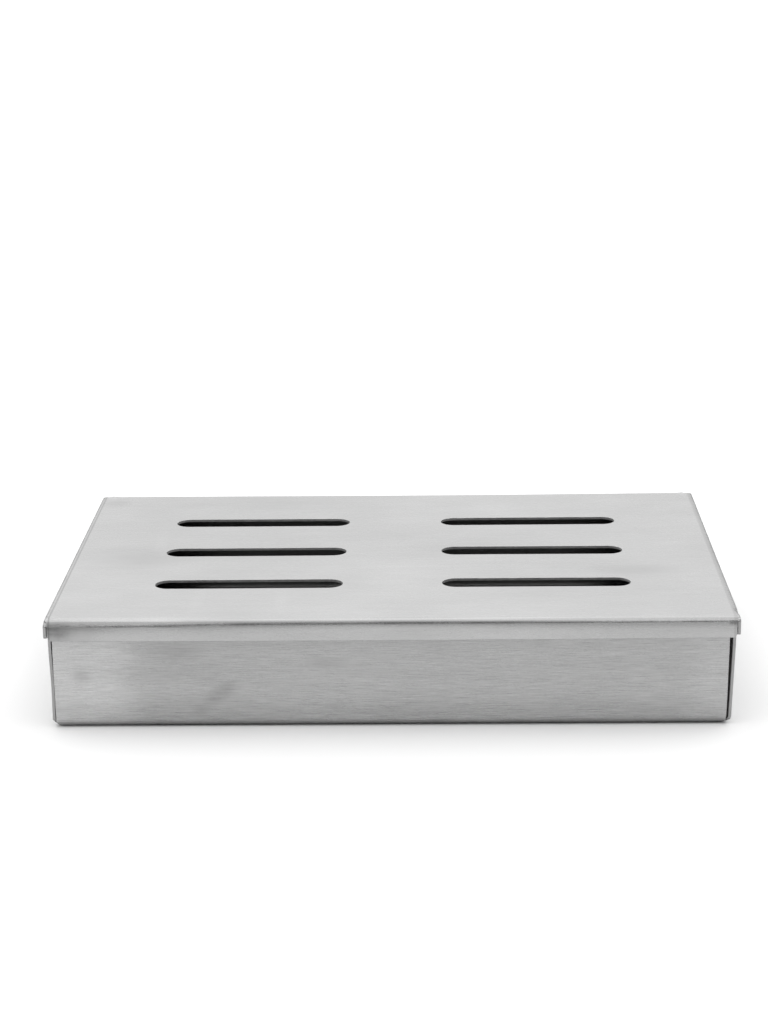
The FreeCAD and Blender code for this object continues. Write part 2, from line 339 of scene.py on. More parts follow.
def lid_warp(P):
    x, y, z = P[:, 0], P[:, 1], P[:, 2]
    out = P.copy()
    back = smooth(0, 68, y)
    # the rear edge sags a little between its corners
    out[:, 2] -= 0.235 * (1 - (x / 105.0) ** 2) * back
    # the metal pinches up where the rear fold ends
    for s in (-1, 1):
        out[:, 2] += 0.20 * np.exp(-((x - s * 101.2) / 0.8) ** 2) * smooth(66.2, 67.4, y) * smooth(32.6, 34.2, z)
    # faint waves of a thin pressed sheet, nowhere over a tenth of a millimetre
    out[:, 2] += 0.035 * np.sin(x / 23.0 + 0.7) * np.cos(y / 31.0 + 0.4) * smooth(20, 30, z)
    out[:, 2] -= 0.05 * np.exp(-((x - 97) / 7.0) ** 2 - ((y + 62) / 6.0) ** 2) * smooth(20, 30, z)
    # the front flange is not quite flat, and dished at its left end
    front = smooth(-66.5, -68.0, y) * (np.abs(x) < 104.1)
    low = smooth(34.6, 29.0, z)
    out[:, 1] += front * 0.05 * np.sin(x / 19.0 + 1.1) * low
    out[:, 1] += front * 0.12 * np.exp(-((x + 100.0) / 5.0) ** 2) * smooth(34.0, 31.5, z)
    # its lower edge is a touch higher at both ends
    out[:, 2] -= front * low * 0.25 * (1 - (np.abs(x) / 104.0) ** 2)
    return out


def lid_mid(u, v):
    """The middle of the lid's sheet, folded from the point u, v of the blank."""
    au, su = np.abs(u), np.sign(u)
    fs, rs = lid_front.start(D / 2, u), lid_rear.start(D / 2, u)
    st = np.where(u < 0, lid_left.start(W / 2, v), lid_right.start(W / 2, v))
    du = np.maximum(au - st, 0.0)
    xl, zl, _ = lid_left.at(du, v)
    xr, zr, _ = lid_right.at(du, v)
    xs, zs = np.where(u < 0, xl, xr), np.where(u < 0, zl, zr)
    xf, zf, _ = lid_front.at(np.maximum(-v - fs, 0.0), u)
    xb, zb, _ = lid_rear.at(np.maximum(v - rs, 0.0), u)
    flap_f = (-v > fs) & ((au < FLAP + 0.02) | (v > PATCH - 0.25))
    flap_r = (v > rs) & (au < 101.6)
    zs_f = np.where((v < PATCH - 0.02) & (au < FLAP + 0.02), 0.0, zs)
    zs_r = np.where(flap_r, 0.0, zs)
    # both folds meet in a small closed corner: the lower of the two surfaces
    r = 0.45
    m = np.maximum(zs_f, zf)
    soft = m + 0.25 * np.maximum(r - np.abs(zs_f - zf), 0.0) ** 2 / r
    soft = np.where(np.minimum(zs_f, zf) < 1e-4, m, soft)
    drop = np.where(flap_f, soft, np.where(flap_r, zb, zs))
    k = smooth(FLAP + 0.1, 104.75, au)
    y = np.where(flap_f, -(fs + xf) * (1 - k) + np.maximum(v, -68.44) * k, np.where(flap_r, rs + xb, v))
    x = np.where(du > 0, su * (st + xs), u)
    x = np.where(flap_r, u, x)
    return lid_warp(np.stack([x, y, H - T / 2 - drop], 1))


def surface_normal(mid, u, v, side):
    """Unit normals of a folded sheet, from its own small differences."""
    e = 0.012
    du = mid(u + e, v) - mid(u - e, v)
    dv = mid(u, v + e) - mid(u, v - e)
    n = np.cross(du, dv)
    n /= np.maximum(np.linalg.norm(n, axis=1), 1e-12)[:, None]
    return n * side


def lid_place(u, v):
    u, v = np.asarray(u, float), np.asarray(v, float)
    # differences are taken a little inside the flaps, away from their cut ends
    e = 0.02
    su = np.sign(u)
    nu = np.where((v < PATCH - 0.02) & (np.abs(u) < FLAP + 0.03), su * np.minimum(np.abs(u), FLAP - e), u)
    nu = np.where((v > 67.6) & (np.abs(u) < 101.6), su * np.minimum(np.abs(u), 101.4), nu)
    nv = np.where((v < PATCH + e) & (np.abs(u) > FLAP + 0.03), PATCH + e, v)
    return lid_mid(u, v), surface_normal(lid_mid, nu, nv, 1.0)


def side_u(s, y, z):
    """Where a point of a side flange at height z lies on the blank."""
    fold = lid_left if s < 0 else lid_right
    y = np.asarray(y, float)
    return s * (fold.start(W / 2, y) + fold.length_for(H - T / 2 - np.asarray(z, float), y))


def front_v(x, z):
    return -(lid_front.start(D / 2, x) + lid_front.length_for(H - T / 2 - z, x))


def ear_line():
    """Lower edge of a side flange from front to back, as (y, z), with its ear."""
    zf = H - FLANGE_S
    dy, dz = EAR_START - PIVOT_Y, zf - PIVOT_Z
    dist = math.hypot(dy, dz)
    t = math.atan2(dz, dy) + math.acos(EAR_R / dist)
    tp = (PIVOT_Y + EAR_R * math.cos(t), PIVOT_Z + EAR_R * math.sin(t))
    pts = [(PATCH, zf + 0.5), (PATCH + 0.5, zf)]
    # eased inside corner of 5 mm radius
    slope = math.atan2(tp[1] - zf, tp[0] - EAR_START)
    turn = -slope
    back = 5.0 * math.tan(turn / 2)
    for i in range(9):
        a = turn * i / 8
        pts.append((EAR_START - back + 5.0 * math.sin(a), zf - 5.0 * (1 - math.cos(a))))
    n = 40
    for i in range(n + 1):
        a = t + (2 * math.pi - t) * i / n
        pts.append((PIVOT_Y + EAR_R * math.cos(a), PIVOT_Z + EAR_R * math.sin(a)))
    pts.append((SIDE_REAR, PIVOT_Z + 4.2))
    return pts


def circle(cx, cy, r, n, clockwise=True):
    s = -1 if clockwise else 1
    return [(cx + r * math.cos(s * 2 * math.pi * i / n), cy + r * math.sin(s * 2 * math.pi * i / n)) for i in range(n)]


def make_lid():
    zlow = H - FLANGE_F
    out = []
    clip = {-1: 1.35, 1: 0.95}
    lo = float(front_v(-FLAP, zlow + clip[-1]))
    out += [(-FLAP, lo)]
    xs = np.linspace(-FLAP + 0.95, FLAP - 0.8, 120)
    out += [(float(x), float(front_v(x, zlow))) for x in xs]
    out += [(FLAP, float(front_v(FLAP, zlow + clip[1])))]
    out += [(FLAP, PATCH - 0.12), (FLAP + 0.07, PATCH)]
    for y, z in ear_line():
        out.append((float(side_u(1, y, z)), y))
    out += [(104.3, SIDE_REAR), (103.6, 67.35), (101.7, 67.3), (101.4, 67.42)]
    ev = float(lid_rear.start(D / 2, 0.0) + lid_rear.length_for(H - T / 2 - zlow, 0.0))
    out += [(REAR_FLANGE, ev - 1.2), (REAR_FLANGE - 1.2, ev), (-REAR_FLANGE + 1.2, ev), (-REAR_FLANGE, ev - 1.2)]
    out += [(-101.4, 67.42), (-101.7, 67.3), (-103.6, 67.35), (-104.3, SIDE_REAR)]
    for y, z in reversed(ear_line()):
        out.append((float(side_u(-1, y, z)), y))
    out += [(-FLAP - 0.07, PATCH), (-FLAP, PATCH - 0.12)]
    holes = []
    r = SLOT_W / 2
    for row in (-1, 0, 1):
        for s in (-1, 1):
            xa, xb = sorted((s * (SLOT_IN + r), s * (SLOT_OUT - r)))
            yc = row * SLOT_PITCH
            n = 18
            pts = [(xb + r * math.cos(a), yc + r * math.sin(a)) for a in np.linspace(math.pi / 2, -math.pi / 2, n)]
            pts += [(xa + r * math.cos(a), yc + r * math.sin(a)) for a in np.linspace(-math.pi / 2, -3 * math.pi / 2, n)]
            holes.append(pts)
    for s in (-1, 1):
        holes.append(circle(float(side_u(s, PIVOT_Y, PIVOT_Z)), PIVOT_Y, 1.55, 28))

    def spacing(u, v):
        if v < -66.0 and abs(u) > 102.0 and v > -70.5:
            return 0.2
        if v < -62.5 and v > -72.5 and abs(u) < 104.2:
            return 0.34
        if 66.0 < v < 70.5 and abs(u) < 103:
            return 0.4
        if 102.0 < abs(u) < 106.5:
            return 0.34
        return 2.2

    pts = []
    for x in np.arange(-101.5, 101.6, 2.9):
        for y in np.arange(-61.5, 66.0, 2.9):
            pts.append((x, y))
    for x in np.arange(-103.3, 103.4, 2.2):
        for y in np.concatenate([np.arange(-74.9, -69.6, 0.35), np.arange(-69.6, -66.0, 0.1), np.arange(-66.0, -63.8, 0.3)]):
            pts.append((x, y))
        for y in np.arange(66.3, 70.6, 0.24):
            pts.append((x, y))
        for y in (72.0, 73.2):
            pts.append((x, y))
    for s in (-1, 1):
        for x in np.arange(102.0, 106.7, 0.2):
            for y in np.arange(-65.6, 67.4, 1.9):
                pts.append((s * x, y))
        for x in np.arange(102.4, 106.0, 0.2):
            for y in np.arange(-68.3, -66.0, 0.2):
                pts.append((s * x, y))
        for x in (107.6, 108.8, 110.4, 112.2, 114.4, 116.6, 118.8):
            for y in np.arange(-67.5, 67.4, 2.1):
                pts.append((s * x, y))
    pts = np.unique(np.round(np.array(pts), 4), axis=0)
    return sheet("lid_sheet", out, holes, pts, spacing, lid_place, True, 0.07, 11, bore=2)


# ---- the tray -------------------------------------------------------------
tray_fold = Fold(TRAY_R)
TS, TV = TW - TRAY_R, TD - TRAY_R


def lean(x, y, z):
    """How far a point of the tray stands off in X: its walls are not quite square."""
    front = 1 - 0.55 * smooth(-60, 60, y)
    right = smooth(55, 103, x) * np.where(z < 26, 0.08 - 0.0335 * (26 - z), 0.08 + 0.06 * smooth(26, 32, z)) * front
    left = smooth(-55, -103, x) * -0.20 * smooth(12, 27, z) * front
    return right + left


def tray_warp(P):
    x, y, z = P[:, 0], P[:, 1], P[:, 2]
    out = P.copy()
    up = np.clip(z / RIM, 0, 1)
    out[:, 0] += lean(x, y, z)
    # the left wall bows in at mid height, where it meets the end of the front wall
    out[:, 0] += (x < -102.7) * smooth(-20, -66, y) * 0.13 * np.exp(-((z - 13) / 8.0) ** 2)
    # the front wall is very slightly full
    fw = (y < -TD + T * 1.05) * (np.abs(x) < 102.82) * smooth(3.0, 9, z)
    out[:, 1] -= fw * (0.14 * (1 - (x / 102.0) ** 4) * np.sin(up * math.pi) - 0.03 * np.sin(x / 21.0))
    bw = (y > TD - T * 1.05) * smooth(3.0, 9, z)
    out[:, 1] -= bw * 0.10 * (1 - (np.clip(x, -102, 102) / 102.0) ** 2) * up
    return out


def tray_mid(u, v):
    au, av = np.abs(u), np.abs(v)
    # a flap is what lies beyond a front or rear fold and inside the line of the side fold
    flap = (av > TV) & (au < flap_edge(av))
    xs, zs, _ = tray_fold.at(np.maximum(au - TS, 0.0))
    xf, zf, _ = tray_fold.at(np.maximum(av - TV, 0.0))
    x = np.where(flap | (au <= TS), u, np.sign(u) * (TS + xs))
    z = np.where(flap, zf, np.where(au > TS, zs, 0.0))
    y = np.where(flap, np.sign(v) * (TV + xf), v)
    return tray_warp(np.stack([x, y, T / 2 + z], 1))


def flap_edge(av):
    """Line on the blank between a front or rear flap and the side folds."""
    return np.interp(av, [TV - 0.4, TV + 0.1, TV + 0.8, TV + 1.9, TV + 3.0, TV + 3.4, TV + 3.42, 400], [101.37, 101.4, 101.8, 102.75, 103.3, 103.3, 200.0, 200.0])


def tray_place(u, v):
    u, v = np.asarray(u, float), np.asarray(v, float)
    e = 0.03
    flap = (np.abs(v) > TV) & (np.abs(u) < flap_edge(np.abs(v)))
    nu = np.where(flap, np.sign(u) * np.minimum(np.abs(u), flap_edge(np.abs(v)) - 0.06), u)
    nv = np.where(~flap & (np.abs(u) > TS), np.clip(v, -TV + e, TV - e), v)
    return tray_mid(u, v), surface_normal(tray_mid, nu, nv, -1.0)


def make_tray():
    def wu(z):
        return float(tray_fold.length_for(z - T / 2))

    def blank_u(xm, z):
        """Blank coordinate of a flap's end that stands at xm after the walls lean."""
        u = xm
        for _ in range(4):
            u = xm - float(lean(np.array([u]), np.array([-TD]), np.array([z]))[0])
        return u

    rimf, rimr = TV + wu(RIM), TV + wu(REAR_RIM)
    vz = {z: TV + float(tray_fold.length_for(max(z - T / 2, 0.0))) for z in (1.2, 2.0, 3.3, 8.5, 14.0, 17.6, 26.0)}
    c = 0.5
    right = [(101.3, TV - 0.3), (101.3, TV + 0.5), (101.62, TV + 1.2), (102.05, TV + 2.05)]
    right += [(blank_u(x, z), vz[z]) for z, x in ((3.3, 101.60), (8.5, 101.73), (14.0, 101.82), (26.0, 101.99))]
    right += [(blank_u(102.02, 31), rimf - c), (blank_u(102.02, 31) - c, rimf)]
    left = [(-101.3, TV - 0.3), (-101.3, TV + 0.45), (-101.75, TV + 1.15), (-102.35, TV + 2.05), (-102.62, TV + 2.9)]
    left += [(blank_u(x, z), vz[z]) for z, x in ((3.3, -102.72), (8.5, -102.74), (17.6, -102.80), (26.0, -102.78))]
    left += [(blank_u(-102.78, 31), rimf - c), (blank_u(-102.78, 31) + c, rimf)]
    back = [(101.3, TV - 0.3), (101.3, TV + 0.5), (101.62, TV + 1.2), (102.05, TV + 2.1), (REAR_WALL - 0.15, TV + 3.2), (REAR_WALL, TV + 5.0)]
    side_r = [(101.45, TV - 0.3), (101.52, TV + 0.25), (102.1, TV + 0.8), (102.8, TV + 1.6), (103.4, TV + 2.7), (103.8, TD)]
    side_l = [(101.45, TV - 0.3), (101.52, TV + 0.2), (102.1, TV + 0.7), (102.9, TV + 1.25), (103.7, TV + 1.75), (104.2, TV + 2.7), (104.6, TD)]

    def side_top(s):
        top, rear = TS + wu(RIM), TS + wu(REAR_RIM)
        return [(s * (top - 0.6), -TD), (s * top, -TD + 0.6), (s * top, PIVOT_Y), (s * rear, TD)]

    out = [(x, -v) for x, v in left] + [(x, -v) for x, v in reversed(right)]
    out += [(x, -v) for x, v in side_r] + side_top(1) + [(x, v) for x, v in reversed(side_l)]
    out += [(x, v) for x, v in back] + [(REAR_WALL, rimr - c), (REAR_WALL - c, rimr)]
    out += [(-REAR_WALL + c, rimr), (-REAR_WALL, rimr - c)] + [(-x, v) for x, v in reversed(back)]
    out += [(-x, v) for x, v in side_l] + list(reversed(side_top(-1))) + [(-x, -v) for x, v in reversed(side_l)]
    holes = [circle(s * (TS + wu(PIVOT_Z)), PIVOT_Y, 1.5, 28) for s in (-1, 1)]

    def spacing(u, v):
        if abs(abs(u) - 102.0) < 2.4 and 63.0 < abs(v) < 69.0:
            return 0.16
        if 63.0 < abs(v) < 70.0 and abs(u) < 106.5:
            return 0.4
        if 100.0 < abs(u) < 106.5 and abs(v) < 70:
            return 0.4
        return 2.6

    pts = []
    for x in np.arange(-98.5, 98.6, 4.1):
        for y in np.arange(-61.5, 61.6, 4.1):
            pts.append((x, y))
    for x in np.arange(-100.5, 100.6, 2.4):
        for s in (-1, 1):
            for y in np.arange(63.6, 69.4, 0.3):
                pts.append((x, s * y))
            for y in np.arange(70.6, 100, 2.6):
                pts.append((x, s * y))
    for s in (-1, 1):
        for y in np.arange(-64.6, 64.7, 2.4):
            for x in np.arange(100.4, 106.3, 0.3):
                pts.append((s * x, y))
        for y in np.arange(-66.6, 66.7, 2.6):
            for x in np.arange(107.2, 137, 2.6):
                pts.append((s * x, y))
        for k in (-1, 1):
            for x in np.arange(101.2, 105.2, 0.22):
                for y in np.arange(63.4, 68.6, 0.22):
                    pts.append((s * x, k * y))
    pts = np.unique(np.round(np.array(pts), 4), axis=0)
    return sheet("tray_sheet", out, holes, pts, spacing, tray_place, False, 0.07, 57, inner=2)


# -------------------------------------------------------------- materials --
def nodes_of(name):
    mat = bpy.data.materials.new(name)
    mat.use_nodes = True
    nt = mat.node_tree
    return mat, nt, nt.nodes["Principled BSDF"]


def math_node(nt, op, a, b=None, c=None, clamp=False):
    n = nt.nodes.new("ShaderNodeMath")
    n.operation = op
    n.use_clamp = clamp
    for i, x in enumerate((a, b, c)):
        if x is None:
            continue
        if isinstance(x, (int, float)):
            n.inputs[i].default_value = x
        else:
            nt.links.new(x, n.inputs[i])
    return n.outputs[0]


def scaled(nt, vec, scale, offset=(0, 0, 0)):
    n = nt.nodes.new("ShaderNodeMapping")
    n.vector_type = "POINT"
    n.inputs["Scale"].default_value = scale
    n.inputs["Location"].default_value = offset
    nt.links.new(vec, n.inputs["Vector"])
    return n.outputs[0]


def noise(nt, vec, scale=1.0, detail=2.0, rough=0.5, dims="3D"):
    n = nt.nodes.new("ShaderNodeTexNoise")
    n.noise_dimensions = dims
    n.inputs["Scale"].default_value = scale
    n.inputs["Detail"].default_value = detail
    n.inputs["Roughness"].default_value = rough
    nt.links.new(vec, n.inputs["Vector"])
    return n.outputs["Fac"]


def remap(nt, x, a, b, c, d, clamp=True, kind="LINEAR"):
    n = nt.nodes.new("ShaderNodeMapRange")
    n.clamp = clamp
    n.interpolation_type = kind
    for i, v in enumerate((a, b, c, d)):
        n.inputs[i + 1].default_value = v
    nt.links.new(x, n.inputs[0])
    return n.outputs[0]


def mm(x):
    """Millimetres on the blank as a texture coordinate."""
    return x * 0.001 + 0.2


def spot(nt, vec, cx, cy, rx, ry, turn=0.0):
    """1 in the middle of a soft ellipse on the blank, 0 outside. Millimetres."""
    m = nt.nodes.new("ShaderNodeMapping")
    m.vector_type = "TEXTURE"
    m.inputs["Location"].default_value = (mm(cx), mm(cy), 0)
    m.inputs["Rotation"].default_value = (0, 0, math.radians(turn))
    m.inputs["Scale"].default_value = (rx * 0.001, ry * 0.001, 1)
    nt.links.new(vec, m.inputs["Vector"])
    ln = nt.nodes.new("ShaderNodeVectorMath")
    ln.operation = "LENGTH"
    nt.links.new(m.outputs[0], ln.inputs[0])
    return remap(nt, ln.outputs["Value"], 1.0, 0.0, 0.0, 1.0, kind="SMOOTHSTEP")


def band(nt, x, a, b, c, d):
    """0 before a, 1 from b to c, 0 after d, along one direction of the blank."""
    up = remap(nt, x, mm(a), mm(b), 0.0, 1.0, kind="SMOOTHSTEP")
    down = remap(nt, x, mm(c), mm(d), 1.0, 0.0, kind="SMOOTHSTEP")
    return math_node(nt, "MULTIPLY", up, down)


def brushed(name, base, rough, aniso, fine_a, mid_a, long_a, cloud_a, marks=(), bands=(), lines=(), scratches=0.0, seed=0.0):
    """Brushed stainless sheet. The grain runs along the blank's first direction.

    marks are soft ellipses (u, v, radius, radius, turn, depth, broken), bands are
    (direction, a, b, c, d, gain), lines are (v, u0, u1, half width, wobble, depth)."""
    mat, nt, bsdf = nodes_of(name)
    tc = nt.nodes.new("ShaderNodeTexCoord")
    vec = tc.outputs["UV"]
    sep = nt.nodes.new("ShaderNodeSeparateXYZ")
    nt.links.new(vec, sep.inputs[0])
    u, v = sep.outputs["X"], sep.outputs["Y"]

    def layer(scale, offset, detail, rough_, dims="3D"):
        return math_node(nt, "SUBTRACT", noise(nt, scaled(nt, vec, scale, offset), detail=detail, rough=rough_), 0.5)

    fine = layer((130, 3600, 1), (seed, 1.0, 0), 3, 0.62)
    mid = layer((72, 1150, 1), (3.1, 1.7 + seed, 0), 3, 0.6)
    long_ = layer((22, 330, 1), (7.7, 5.2 + seed, 0), 2, 0.5)
    cloud = layer((34, 60, 1), (1.3 + seed, 9.1, 0), 3, 0.55)
    wide = layer((11, 17, 1), (4.6, 2.2 + seed, 0), 2, 0.5)
    speck = layer((1100, 1500, 1), (0.3, 4.1, 0), 2, 0.6)
    # how light the metal is, as a factor near 1
    f = math_node(nt, "MULTIPLY_ADD", fine, fine_a, 1.0)
    for n, k in ((mid, mid_a), (long_, long_a), (cloud, cloud_a), (wide, cloud_a), (speck, 0.03 + 0.16 * fine_a)):
        f = math_node(nt, "MULTIPLY_ADD", n, k, f)
    dull = None
    patchy = noise(nt, scaled(nt, vec, (330, 420, 1), (seed, 3.3, 0)), detail=3, rough=0.6)
    for cx, cy, rx, ry, turn, depth, broken in marks:
        s = spot(nt, vec, cx, cy, rx, ry, turn)
        if broken:
            s = math_node(nt, "MULTIPLY", s, remap(nt, patchy, 0.30, 0.62, 1.0 - broken, 1.0))
        f = math_node(nt, "MULTIPLY_ADD", s, -depth, f)
        if depth > 0:
            dull = s if dull is None else math_node(nt, "MAXIMUM", dull, s)
    for direction, a, b, c, d, gain in bands:
        f = math_node(nt, "MULTIPLY", f, remap(nt, band(nt, u if direction == "u" else v, a, b, c, d), 0.0, 1.0, 1.0, gain))
    wob = noise(nt, scaled(nt, vec, (620, 1, 1), (seed, 0, 0)), detail=3, rough=0.7)
    for v0, u0, u1, half, wobble, depth in lines:
        off = math_node(nt, "MULTIPLY_ADD", math_node(nt, "SUBTRACT", wob, 0.5), wobble * 0.002, mm(v0))
        dist = math_node(nt, "ABSOLUTE", math_node(nt, "SUBTRACT", v, off))
        m = remap(nt, dist, 0.0, half * 0.001, 1.0, 0.0, kind="SMOOTHSTEP")
        fade = u0 + (u1 - u0) * 0.35
        m = math_node(nt, "MULTIPLY", m, band(nt, u, u0 - 0.4, u0, fade, u1) if u1 > u0 else band(nt, u, u1, fade, u0, u0 + 0.4))
        m = math_node(nt, "MULTIPLY", m, remap(nt, wob, 0.32, 0.55, 0.55, 1.0))
        f = math_node(nt, "MULTIPLY_ADD", m, -depth, f)
    if scratches:
        # sparse short scratches along the grain, catching the light
        sc = noise(nt, scaled(nt, vec, (120, 5200, 1), (8.8, seed, 0)), detail=1, rough=0.4)
        where = noise(nt, scaled(nt, vec, (17, 26, 1), (2.0, 7.0 + seed, 0)), detail=1)
        sc = math_node(nt, "MULTIPLY", remap(nt, sc, 0.66, 0.76, 0.0, 1.0), remap(nt, where, 0.50, 0.66, 0.0, 1.0))
        f = math_node(nt, "MULTIPLY_ADD", sc, scratches, f)
    col = nt.nodes.new("ShaderNodeVectorMath")
    col.operation = "SCALE"
    col.inputs[0].default_value = base
    nt.links.new(f, col.inputs["Scale"])
    nt.links.new(col.outputs[0], bsdf.inputs["Base Color"])
    # roughness
    r = math_node(nt, "MULTIPLY_ADD", mid, 0.16, rough)
    r = math_node(nt, "MULTIPLY_ADD", cloud, 0.10, r)
    r = math_node(nt, "MULTIPLY_ADD", fine, 0.12, r)
    if dull is not None:
        r = math_node(nt, "MULTIPLY_ADD", dull, 0.08, r)
    nt.links.new(r, bsdf.inputs["Roughness"])
    bsdf.inputs["Metallic"].default_value = 1.0
    bsdf.inputs["Anisotropic"].default_value = aniso
    bsdf.inputs["Anisotropic Rotation"].default_value = 0.25
    tan = nt.nodes.new("ShaderNodeTangent")
    tan.direction_type = "UV_MAP"
    tan.uv_map = "blank"
    nt.links.new(tan.outputs[0], bsdf.inputs["Tangent"])
    h = math_node(nt, "MULTIPLY_ADD", fine, 0.6, math_node(nt, "MULTIPLY", mid, 0.4))
    bump = nt.nodes.new("ShaderNodeBump")
    bump.inputs["Strength"].default_value = 0.35
    bump.inputs["Distance"].default_value = 0.000012
    nt.links.new(h, bump.inputs["Height"])
    nt.links.new(bump.outputs[0], bsdf.inputs["Normal"])
    return mat


def cut_edge(name, base, rough):
    """The sheared edge of the sheet: duller, with short marks across it."""
    mat, nt, bsdf = nodes_of(name)
    tc = nt.nodes.new("ShaderNodeTexCoord")
    a = noise(nt, scaled(nt, tc.outputs["Object"], (1500, 1500, 300)), detail=3, rough=0.6)
    b = noise(nt, scaled(nt, tc.outputs["Object"], (170, 170, 170)), detail=2)
    f = math_node(nt, "MULTIPLY_ADD", math_node(nt, "SUBTRACT", a, 0.5), 0.5, 1.0)
    f = math_node(nt, "MULTIPLY_ADD", math_node(nt, "SUBTRACT", b, 0.5), 0.35, f)
    col = nt.nodes.new("ShaderNodeVectorMath")
    col.operation = "SCALE"
    col.inputs[0].default_value = base
    nt.links.new(f, col.inputs["Scale"])
    nt.links.new(col.outputs[0], bsdf.inputs["Base Color"])
    nt.links.new(math_node(nt, "MULTIPLY_ADD", math_node(nt, "SUBTRACT", a, 0.5), 0.2, rough), bsdf.inputs["Roughness"])
    bsdf.inputs["Metallic"].default_value = 1.0
    bump = nt.nodes.new("ShaderNodeBump")
    bump.inputs["Strength"].default_value = 0.4
    bump.inputs["Distance"].default_value = 0.00002
    nt.links.new(a, bump.inputs["Height"])
    nt.links.new(bump.outputs[0], bsdf.inputs["Normal"])
    return mat


def plain_steel(name, base, rough, ring=False):
    """Small turned or stamped pieces: tumbled steel with fine scuffs."""
    mat, nt, bsdf = nodes_of(name)
    tc = nt.nodes.new("ShaderNodeTexCoord")
    a = noise(nt, scaled(nt, tc.outputs["Object"], (1100, 1100, 1100)), detail=4, rough=0.65)
    b = noise(nt, scaled(nt, tc.outputs["Object"], (260, 260, 260), (3, 1, 2)), detail=2)
    f = math_node(nt, "MULTIPLY_ADD", math_node(nt, "SUBTRACT", a, 0.5), 0.28, 1.0)
    f = math_node(nt, "MULTIPLY_ADD", math_node(nt, "SUBTRACT", b, 0.5), 0.22, f)
    col = nt.nodes.new("ShaderNodeVectorMath")
    col.operation = "SCALE"
    col.inputs[0].default_value = base
    nt.links.new(f, col.inputs["Scale"])
    nt.links.new(col.outputs[0], bsdf.inputs["Base Color"])
    r = math_node(nt, "MULTIPLY_ADD", math_node(nt, "SUBTRACT", a, 0.5), 0.22, rough)
    nt.links.new(r, bsdf.inputs["Roughness"])
    bsdf.inputs["Metallic"].default_value = 1.0
    bump = nt.nodes.new("ShaderNodeBump")
    bump.inputs["Strength"].default_value = 0.5
    bump.inputs["Distance"].default_value = 0.00002
    nt.links.new(a, bump.inputs["Height"])
    nt.links.new(bump.outputs[0], bsdf.inputs["Normal"])
    return mat


def wall_v(z):
    """Height on the tray's front wall as a position on its blank."""
    return -(TV + float(tray_fold.length_for(z - T / 2)))


def flange_v(x, z):
    """Height on the lid's front flange as a position on its blank."""
    return float(front_v(x, z))


lid_mat = brushed(
    "lid_brushed", (0.414, 0.414, 0.414), 0.265, 0.80, 0.14, 0.085, 0.07, 0.26,
    marks=[
        (-101.5, flange_v(-100, 31.4), 8.0, 4.6, 0, 0.34, 0.35),      # heat tint at the flange's left end
        (-100.0, flange_v(-100, 31.2), 19.0, 6.0, 0, 0.15, 0.5),
        (-99.0, 59.5, 8.0, 7.0, 0, 0.07, 0.3),
        (-83.0, -8.0, 24.0, 16.0, 0, 0.03, 0.0),
        (0.0, -30.0, 14.0, 26.0, 0, -0.025, 0.0),
        (32.0, 53.0, 16.0, 9.0, 0, -0.05, 0.8),
        (-77.6, 14.0, 3.2, 22.0, 4, -0.03, 0.0),
        (-60.0, -50.0, 3.0, 20.0, -3, -0.03, 0.0),
        (-34.0, -50.0, 3.0, 18.0, 2, -0.03, 0.0),
        (78.0, -22.0, 22.0, 9.0, 0, 0.035, 0.3),
    ],
    # painted reflection: the front flange is made 6.5 % lighter, for the brighter part of the room it faces; the lid is
    # also 3 % lighter at the front, fading out towards the back
    bands=[("v", -200, -199, -70.2, -69.2, 1.065), ("v", -200, -199, -66.0, 66.0, 1.03),
           # painted shade: the side folds are darkened, in a narrow line near the start of the left fold and over a
           # broad band on the right fold
           ("u", -103.75, -103.5, -103.25, -103.0, 0.70), ("u", 102.75, 103.15, 105.3, 105.9, 0.85)],
    # painted shade: wobbly dark lines in the crease of the front fold near its left end
    lines=[(flange_v(-95, 33.3), -103.7, -82.0, 0.42, 0.55, 0.28), (flange_v(-82, 33.4), -94.0, -66.0, 0.30, 0.50, 0.30),
           # painted highlight: lighter lines along the front fold from each end inwards, lifting its dark reflected
           # band
           (-68.35, 104.5, 36.0, 0.75, 0.25, -0.38), (-68.35, -104.5, -20.0, 0.75, 0.25, -0.36)],
    scratches=0.10, seed=0.0)
tray_mat = brushed(
    "tray_brushed", (0.397, 0.397, 0.397), 0.28, 0.80, 0.84, 0.40, 0.16, 0.22,
    marks=[
        (-94.1, wall_v(16.7), 4.2, 3.8, 0, 0.075, 0.3),
        (-51.6, wall_v(11.4), 8.6, 3.7, -29, 0.16, 0.45),
        (-58.0, wall_v(6.3), 7.0, 3.0, -30, 0.06, 0.5),
        (-65.2, wall_v(24.4), 13.0, 4.0, 0, 0.02, 0.4),
        (-20.0, wall_v(21.0), 9.0, 3.0, 0, 0.012, 0.4),
    ],
    # painted reflection: the tray is 25 % lighter at its left end and 8 % lighter at its right end
    bands=[("u", -400, -399, -88.0, -72.0, 1.25), ("u", 86.0, 97.0, 399, 400, 1.08),
           # painted reflection: a band 6 to 19 mm up the front wall is 5 % lighter; painted shade: the front wall's
           # bottom fold is 26 % darker, for the floor's contact shadow reflected there
           ("v", wall_v(19.0), wall_v(12.5), wall_v(9.5), wall_v(6.0), 1.05), ("v", wall_v(2.6), wall_v(1.6), -64.2, -63.4, 0.74),
           # painted shade: the upper front wall, from about 22 mm up, is 4 % darker under the lid's flange
           ("v", -200, -199, wall_v(27.0), wall_v(22.0), 0.96)],
    seed=3.7)
